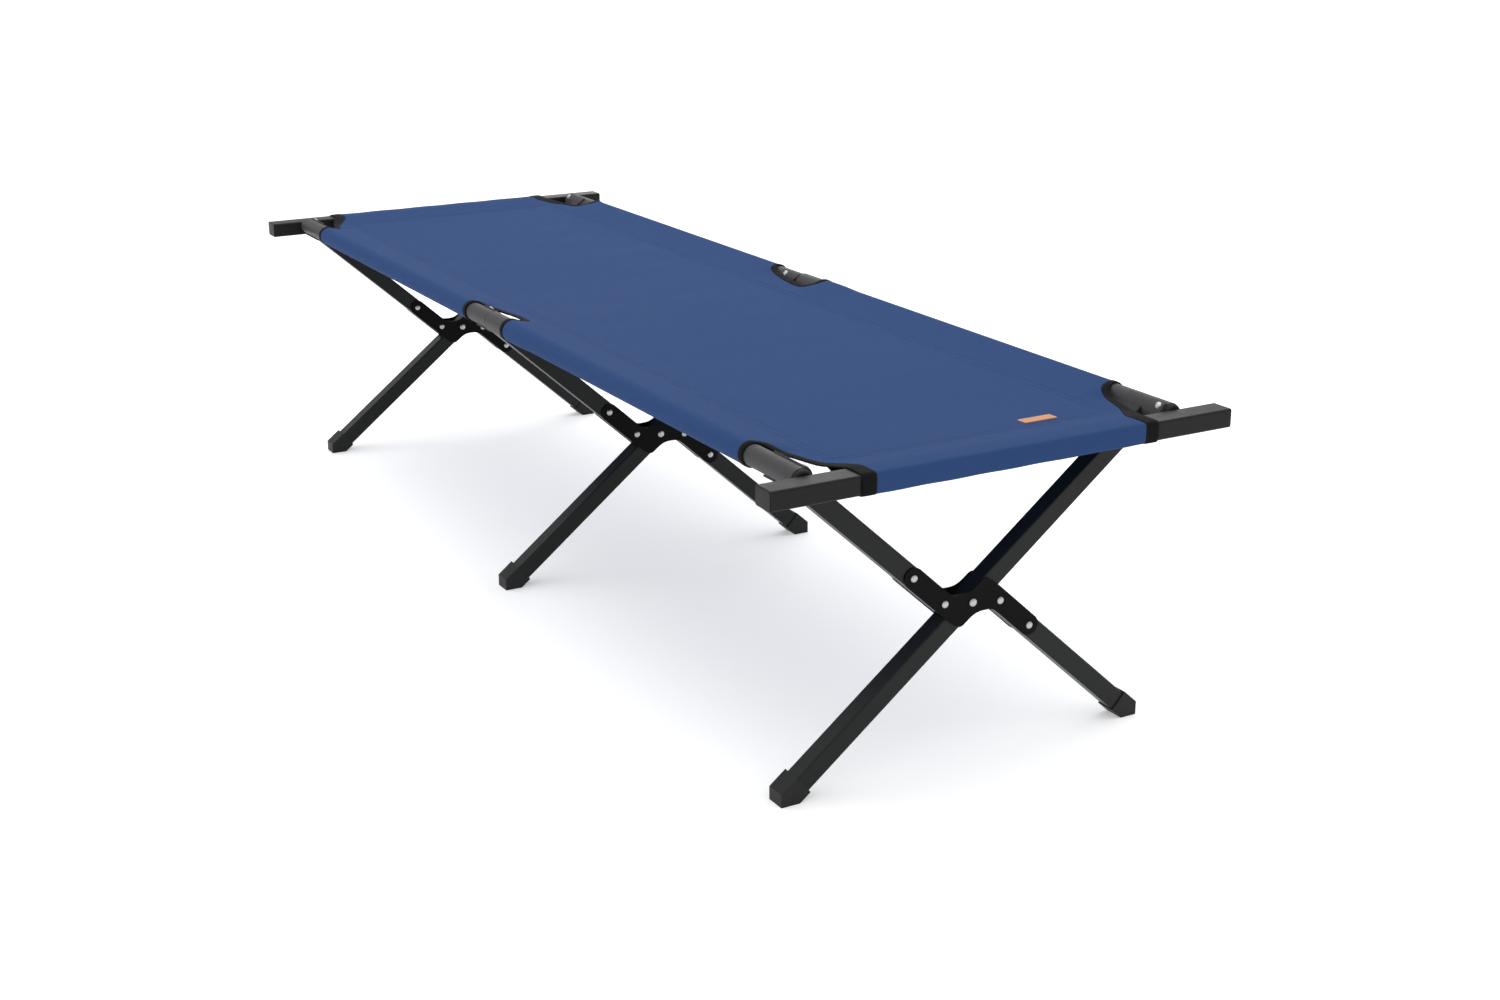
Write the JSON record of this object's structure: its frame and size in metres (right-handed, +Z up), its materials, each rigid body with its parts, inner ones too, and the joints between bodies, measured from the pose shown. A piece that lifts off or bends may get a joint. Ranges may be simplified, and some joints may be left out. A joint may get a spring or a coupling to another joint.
{
  "type": "folding camp cot",
  "caption": "Folding camp cot: fabric bed cover sleeved over round side rails and rectangular end bars, on scissor legs of square steel tube with angled plastic feet.",
  "frame": {"origin": "on the floor, under the middle of the cot", "axes": "+X along the length towards the foot end, which has the label patch; +Y across to the far side, whose rail the straight legs carry; +Z up"},
  "size_m": [1.9044, 0.68, 0.4519],
  "materials": {
    "rail_paint": "satin grey powder coat",
    "bar_paint": "satin dark grey powder coat",
    "leg_paint": "satin black-grey powder coat",
    "plate_paint": "matt black powder coat",
    "rivet_steel": "zinc plated",
    "black_plastic": "moulded, fine texture",
    "foot_plastic": "moulded, fine texture",
    "cover_fabric": "plain-woven coated polyester",
    "binding_tape": "woven tape, folded and stitched",
    "label_leather": "smooth imitation leather, blank"
  },
  "bodies": {
    "far_head_frame": {"far_rail_head_half": "rail_paint", "far_rail_head_bush": "black_plastic", "head_long_leg": "leg_paint", "middle_long_leg": "leg_paint", "head_pivot_rivet": "rivet_steel", "middle_pivot_rivet": "rivet_steel", "far_head_saddle": "rail_paint", "far_middle_saddle": "rail_paint", "far_head_half_saddle_rivets": "rivet_steel", "head_near_foot": "foot_plastic", "middle_near_foot": "foot_plastic", "bed_panel": "cover_fabric", "bed_sleeves": "cover_fabric", "corner_bindings": "binding_tape", "middle_bindings": "binding_tape", "label_patch": "label_leather"},
    "near_head_frame": {"near_rail_head_half": "rail_paint", "near_rail_head_bush": "black_plastic", "head_upper_leg": "leg_paint", "middle_upper_leg": "leg_paint", "head_lower_leg": "leg_paint", "middle_lower_leg": "leg_paint", "head_outer_plate": "plate_paint", "head_inner_plate": "plate_paint", "middle_head_plate": "plate_paint", "middle_foot_plate": "plate_paint", "head_plate_rivets": "rivet_steel", "middle_plate_rivets": "rivet_steel", "near_head_saddle": "rail_paint", "near_middle_saddle": "rail_paint", "near_head_half_saddle_rivets": "rivet_steel", "head_far_foot": "foot_plastic", "middle_far_foot": "foot_plastic"},
    "far_foot_frame": {"far_rail_foot_half": "rail_paint", "far_rail_foot_bush": "black_plastic", "foot_long_leg": "leg_paint", "foot_pivot_rivet": "rivet_steel", "far_foot_saddle": "rail_paint", "far_foot_half_saddle_rivet": "rivet_steel", "foot_near_foot": "foot_plastic"},
    "near_foot_frame": {"near_rail_foot_half": "rail_paint", "near_rail_foot_bush": "black_plastic", "foot_upper_leg": "leg_paint", "foot_lower_leg": "leg_paint", "foot_inner_plate": "plate_paint", "foot_outer_plate": "plate_paint", "foot_plate_rivets": "rivet_steel", "near_foot_saddle": "rail_paint", "near_foot_half_saddle_rivet": "rivet_steel", "foot_far_foot": "foot_plastic"},
    "head_bar_set": {"head_bar": "bar_paint", "head_bar_near_cap": "black_plastic", "head_bar_far_cap": "black_plastic", "head_bar_studs": "rivet_steel"},
    "foot_bar_set": {"foot_bar": "bar_paint", "foot_bar_near_cap": "black_plastic", "foot_bar_far_cap": "black_plastic", "foot_bar_studs": "rivet_steel"}
  },
  "joints": [
    {"name": "fold", "type": "hinge", "parent": "far_head_frame", "child": "near_head_frame", "pos_m": [-0.003, 0, 0.2175], "axis": [-1, 0, 0], "range_deg": [0, 94], "deforming": ["bed_panel", "bed_sleeves", "corner_bindings", "middle_bindings", "label_patch"]},
    {"name": "rail_pull_apart", "type": "slide", "parent": "far_head_frame", "child": "far_foot_frame", "axis": [1, 0, 0], "range_m": [0, 0.045], "deforming": ["bed_panel", "bed_sleeves", "corner_bindings", "middle_bindings", "label_patch"]},
    {"name": "foot_fold", "type": "hinge", "parent": "far_foot_frame", "child": "near_foot_frame", "pos_m": [0.858, 0, 0.2175], "axis": [-1, 0, 0], "range_deg": [0, 94]},
    {"name": "head_bar_pull", "type": "slide", "parent": "far_head_frame", "child": "head_bar_set", "axis": [-1, 0, 0], "range_m": [0, 0.3285]},
    {"name": "foot_bar_pull", "type": "slide", "parent": "far_foot_frame", "child": "foot_bar_set", "axis": [1, 0, 0], "range_m": [0, 0.3285]}
  ],
  "couplings": [
    {"joint": "foot_fold", "follows": "fold", "ratio": 1},
    {"joint": "head_bar_pull", "follows": "fold", "m_per_rad": 0.2},
    {"joint": "foot_bar_pull", "follows": "fold", "m_per_rad": 0.2}
  ]
}
